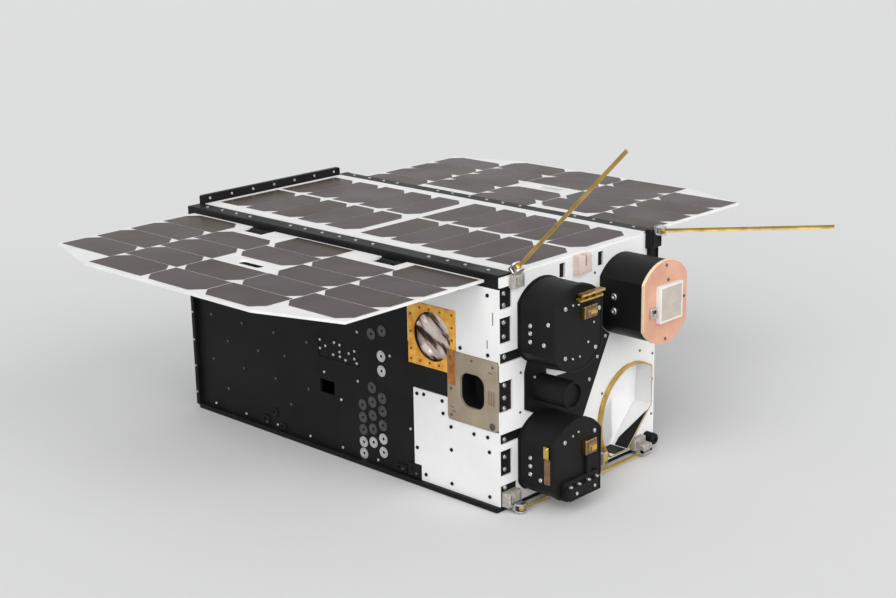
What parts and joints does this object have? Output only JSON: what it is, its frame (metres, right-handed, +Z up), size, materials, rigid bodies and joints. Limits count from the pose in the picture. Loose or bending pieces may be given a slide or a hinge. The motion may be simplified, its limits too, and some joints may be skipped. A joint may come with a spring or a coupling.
{
  "type": "small satellite",
  "caption": "Box-shaped small satellite with two folding solar wings, a solar top panel, spring tape antennas and a front face of payload housings and a telescope aperture.",
  "frame": {"origin": "on the floor, under the middle of the body's bottom panel", "axes": "+X forward to the payload face, +Y to the left wing, +Z up"},
  "size_m": [0.577, 0.628, 0.3508],
  "materials": {
    "black_anodised": "black anodised aluminium, satin",
    "white_paint": "white thermal paint, matt",
    "white_substrate": "white coated panel, satin",
    "solar_cell": "dark mauve-grey covered cell, glossy",
    "orange_film": "orange polyimide film, glossy",
    "crinkled_foil": "crinkled metallised film",
    "tan_plate": "tan plate, satin",
    "gold_plate": "gold plated",
    "copper_board": "circuit board with copper under clear lacquer",
    "pale_ceramic": "pale fired ceramic",
    "bare_metal": "bare metal, satin",
    "baffle_gold": "gold coloured inside, satin",
    "mirror_coat": "silvered mirror",
    "holder_resin": "pale pinkish resin",
    "gold_tape": "gold coloured spring tape"
  },
  "bodies": {
    "bus": {"base_panel": "black_anodised", "rail_right": "black_anodised", "rail_left": "black_anodised", "hinge_rail_right": "black_anodised", "hinge_rail_left": "black_anodised", "rear_plate": "black_anodised", "side_panel_right": "black_anodised", "side_panel_left": "black_anodised", "hold_down_right": "black_anodised", "hold_down_left": "black_anodised", "sensor_box": "black_anodised", "front_frame": "black_anodised", "payload_plate": "black_anodised", "housing_upper": "black_anodised", "housing_lower": "black_anodised", "housing_patch": "black_anodised", "lid_upper": "black_anodised", "lid_lower": "black_anodised", "lid_foot": "black_anodised", "centre_stub": "black_anodised", "release_knob": "black_anodised", "radiator_upper": "white_paint", "radiator_lower": "white_paint", "front_panel": "white_paint", "top_panel": "white_substrate", "top_cells": "solar_cell", "blanket_frame": "orange_film", "blanket_foil": "crinkled_foil", "sensor_plate": "tan_plate", "feed_blocks": "gold_plate", "patch_board": "copper_board", "patch_tile": "pale_ceramic", "patch_plug": "bare_metal", "avionics_block": "bare_metal", "aperture_baffle": "baffle_gold", "aperture_mirror": "mirror_coat", "tape_holder_top_right": "holder_resin", "tape_holder_top_left": "holder_resin", "tape_holder_low_right": "holder_resin", "tape_rest_low_left": "holder_resin", "tape_clamp": "holder_resin"},
    "wing_right": {"wing_right_panel": "white_substrate", "wing_right_cells": "solar_cell", "wing_right_leaves": "black_anodised", "wing_right_straps": "black_anodised"},
    "wing_left": {"wing_left_panel": "white_substrate", "wing_left_cells": "solar_cell", "wing_left_leaves": "black_anodised", "wing_left_straps": "black_anodised"},
    "antenna_top_right": {"tape_top_right": "gold_tape"},
    "antenna_top_left": {"tape_top_left": "gold_tape"},
    "antenna_low_right": {"tape_low_right": "gold_tape"}
  },
  "joints": [
    {"name": "wing_right_fold", "type": "hinge", "parent": "bus", "child": "wing_right", "pos_m": [0, -0.121, 0.215], "axis": [1, 0, 0], "range_deg": [0, 90]},
    {"name": "wing_left_fold", "type": "hinge", "parent": "bus", "child": "wing_left", "pos_m": [0, 0.121, 0.215], "axis": [-1, 0, 0], "range_deg": [0, 90]},
    {"name": "antenna_top_right_fold", "type": "hinge", "parent": "bus", "child": "antenna_top_right", "pos_m": [0.2265, -0.097, 0.2305], "axis": [-0.7071, 0, 0.7071], "range_deg": [0, 90]},
    {"name": "antenna_top_left_fold", "type": "hinge", "parent": "bus", "child": "antenna_top_left", "pos_m": [0.236, 0.106, 0.2275], "axis": [0, 0, -1], "range_deg": [0, 135]},
    {"name": "antenna_low_right_fold", "type": "hinge", "parent": "bus", "child": "antenna_low_right", "pos_m": [0.236, -0.104, 0.0052], "axis": [0, 0, -1], "range_deg": [0, 135]}
  ]
}
